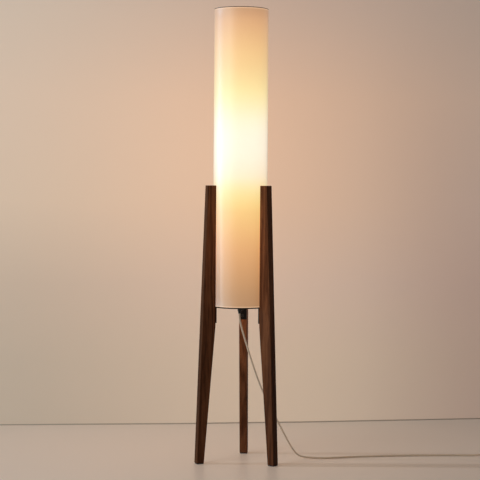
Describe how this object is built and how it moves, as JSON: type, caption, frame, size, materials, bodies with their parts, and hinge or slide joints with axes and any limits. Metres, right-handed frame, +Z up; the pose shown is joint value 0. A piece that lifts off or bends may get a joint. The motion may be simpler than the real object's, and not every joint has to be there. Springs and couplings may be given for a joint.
{
  "type": "tripod floor lamp",
  "caption": "Tall cylindrical fabric shade standing between the tops of tapered walnut legs of a slim tripod, with a bulb on an inner stem and a cord with a foot switch and a plug.",
  "frame": {"origin": "on the lamp axis, at the floor that the feet stand on", "axes": "+Z up along the shade, +Y from the axis towards the rear leg, +X to the right seen from the front"},
  "size_m": [1.0139, 0.2798, 1.257],
  "materials": {
    "walnut": "satin oiled",
    "black_rubber": "matte",
    "black_steel": "satin powder coat",
    "black_screws": "black oxide",
    "zinc_steel": "zinc plated",
    "brass_fittings": "turned",
    "black_nylon": "fine texture",
    "cord_pvc": "soft gloss",
    "cord_pvc_moulded": "moulded",
    "holder_phenolic": "moulded",
    "porcelain": "glazed",
    "brass_contacts": "stamped",
    "opal_glass": "opal, frosted",
    "bulb_nickel": "nickel plated",
    "bulb_insulator": "vitrified",
    "led_board": "white solder mask",
    "led_phosphor": "phosphor gel",
    "shade_fabric": "fine plain weave",
    "shade_film": "satin film",
    "switch_plastic": "fine texture",
    "switch_button_plastic": "polished",
    "spring_steel": "drawn wire",
    "tie_plastic": "moulded"
  },
  "bodies": {
    "stand": {"base_plate": "black_steel", "centre_contact": "brass_contacts", "coil_tie": "tie_plastic", "cord_coil": "cord_pvc", "cord_grip": "black_nylon", "cord_lead": "cord_pvc", "cord_link": "cord_pvc", "cord_tail": "cord_pvc", "flange_screws": "black_screws", "foot_pad_left": "black_rubber", "foot_pad_rear": "black_rubber", "foot_pad_right": "black_rubber", "holder_cap": "holder_phenolic", "holder_core": "porcelain", "holder_shell": "holder_phenolic", "holder_terminals": "brass_contacts", "leg_left": "walnut", "leg_rear": "walnut", "leg_right": "walnut", "leg_screws": "black_screws", "plug_blades": "brass_contacts", "plug_body": "cord_pvc_moulded", "plug_sleeve": "cord_pvc_moulded", "screw_shell": "brass_contacts", "shade_locator": "black_steel", "stem": "zinc_steel", "stem_cable": "cord_pvc", "stem_flange": "zinc_steel", "stem_nut_lower": "brass_fittings", "stem_nut_upper": "brass_fittings", "switch_base": "switch_plastic", "switch_block": "black_nylon", "switch_cover": "switch_plastic", "switch_screws": "zinc_steel", "switch_sleeves": "cord_pvc_moulded", "switch_spring": "spring_steel", "switch_terminals": "brass_contacts"},
    "shade": {"shade_cover": "shade_fabric", "shade_liner": "shade_film", "shade_ring_bottom": "black_steel", "shade_ring_top": "black_steel"},
    "bulb": {"bulb_glass": "opal_glass", "bulb_cap": "bulb_nickel", "bulb_insulator": "bulb_insulator", "bulb_contact": "bulb_nickel", "led_post": "led_board", "led_strips": "led_phosphor"},
    "foot_button": {"switch_button": "switch_button_plastic"}
  },
  "joints": [
    {"name": "shade_lift", "type": "slide", "parent": "stand", "child": "shade", "axis": [0, 0, 1], "range_m": [0, 0.52]},
    {"name": "bulb_out", "type": "slide", "parent": "stand", "child": "bulb", "axis": [0, 0, 1], "range_m": [0, 0.43]},
    {"name": "button_press", "type": "slide", "parent": "stand", "child": "foot_button", "axis": [0, 0, -1], "range_m": [0, 0.003], "stiffness_N_per_m": 400, "springref_m": -0.003, "deforming": ["switch_spring"]}
  ]
}
